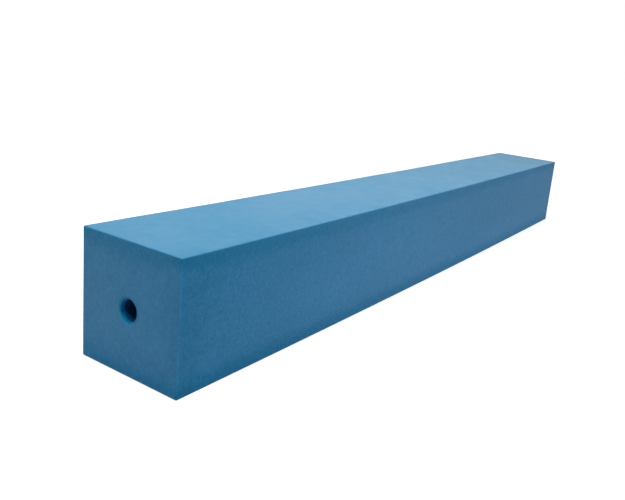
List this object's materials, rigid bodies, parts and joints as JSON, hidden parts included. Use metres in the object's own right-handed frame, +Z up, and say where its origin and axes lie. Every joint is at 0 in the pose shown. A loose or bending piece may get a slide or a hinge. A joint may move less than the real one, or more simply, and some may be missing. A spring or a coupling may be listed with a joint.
{
  "type": "foam block",
  "caption": "Long square block of closed-cell foam with softened edges and a small round bore down its middle, for turning into a grip.",
  "frame": {"origin": "middle of the underside, midway between the two ends", "axes": "+X along the bore and the block's length, +Y across it, +Z up from the side it lies on"},
  "size_m": [0.3174, 0.0382, 0.0381],
  "materials": {
    "foam": "matt closed-cell foam, fine cut cells"
  },
  "bodies": {
    "root": {"foam_block": "foam"}
  },
  "joints": []
}
